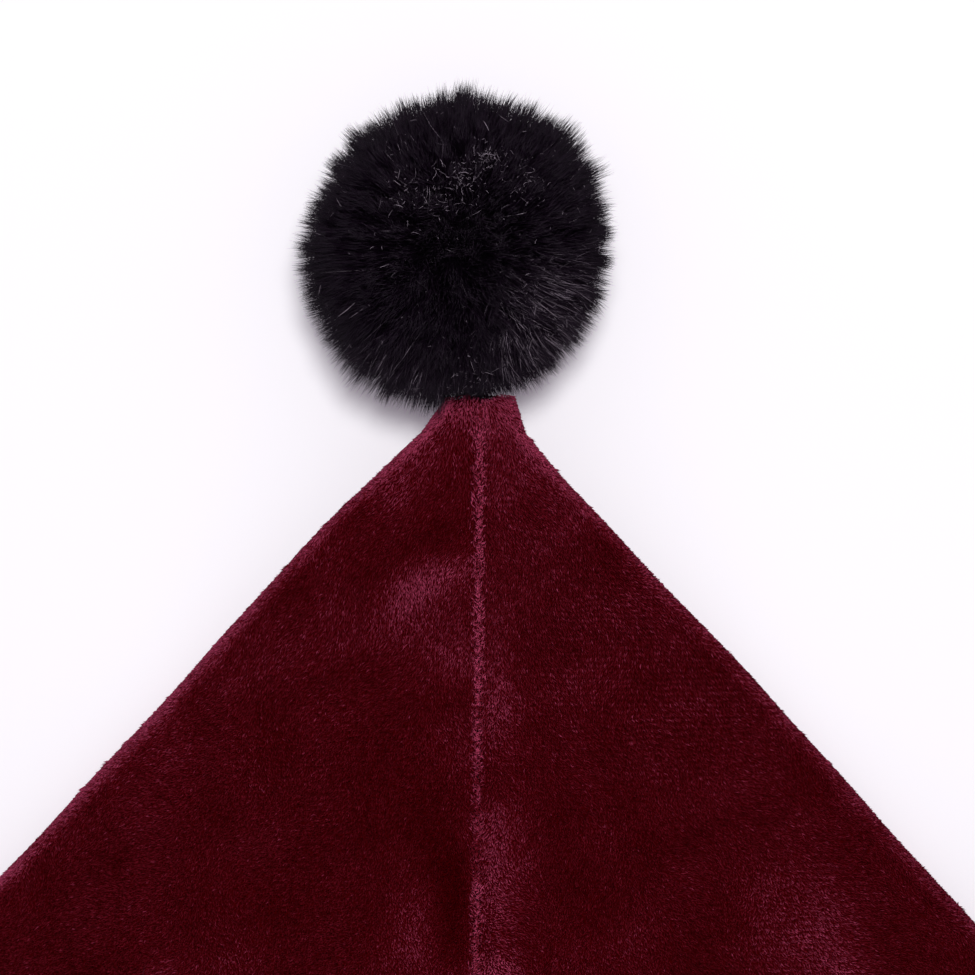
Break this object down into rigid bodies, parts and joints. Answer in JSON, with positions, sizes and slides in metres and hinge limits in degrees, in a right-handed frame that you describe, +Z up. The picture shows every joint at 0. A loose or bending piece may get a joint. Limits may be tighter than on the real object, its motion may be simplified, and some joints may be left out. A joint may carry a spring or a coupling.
{
  "type": "party hat",
  "caption": "Plush cone-shaped party hat lying flat, with a turned-up fur band round the head opening and a fur pompom tied to its blunt tip.",
  "frame": {"origin": "on the surface the hat lies on, under the middle of the whole hat's box", "axes": "+Y towards the tip and pompom, -Y out of the head opening, +Z up from the surface, +X to the right seen from above"},
  "size_m": [0.3196, 0.2936, 0.069],
  "materials": {
    "velvet": "burgundy short-pile plush",
    "lining": "black satin",
    "seam_thread": "burgundy sewing thread",
    "fur": "black long-pile faux fur",
    "fur_thread": "black sewing thread",
    "cord": "black waxed cord",
    "stuffing": "white polyester filling",
    "label": "blank woven satin ribbon"
  },
  "bodies": {
    "hat": {"left_crown_panel": "velvet", "right_crown_panel": "velvet", "left_lining_panel": "lining", "right_lining_panel": "lining", "front_seam_thread": "seam_thread", "back_seam_thread": "seam_thread", "lining_front_seam_thread": "seam_thread", "lining_back_seam_thread": "seam_thread", "tip_gather_thread": "seam_thread", "fur_cuff": "fur", "cuff_back_seam_thread": "fur_thread", "cuff_top_stitching": "fur_thread", "cuff_hem_stitching": "fur_thread", "anchor_knot": "cord"},
    "cord": {"pompom_cord": "cord"},
    "neck": {"neck_knot": "cord"},
    "pompom": {"pompom_fur_cover": "fur", "pompom_gather_thread": "fur_thread", "pompom_stuffing": "stuffing"},
    "label": {"care_label": "label"}
  },
  "joints": [
    {"name": "pompom_lift", "type": "hinge", "parent": "hat", "child": "cord", "pos_m": [0, 0.07437, 0.03], "axis": [1, 0, 0], "range_deg": [0, 35]},
    {"name": "pompom_swing", "type": "hinge", "parent": "cord", "child": "neck", "pos_m": [0, 0.07867, 0.03], "axis": [0, 0, 1], "range_deg": [-39, 19]},
    {"name": "pompom_twist", "type": "hinge", "parent": "neck", "child": "pompom", "pos_m": [0, 0.07867, 0.03], "axis": [-0.1756, 0.9758, 0.1304], "range_deg": [-60, 60]},
    {"name": "label_flap", "type": "hinge", "parent": "hat", "child": "label", "pos_m": [0.025, -0.12463, 0.0096], "axis": [1, 0, 0], "range_deg": [0, 25]}
  ]
}
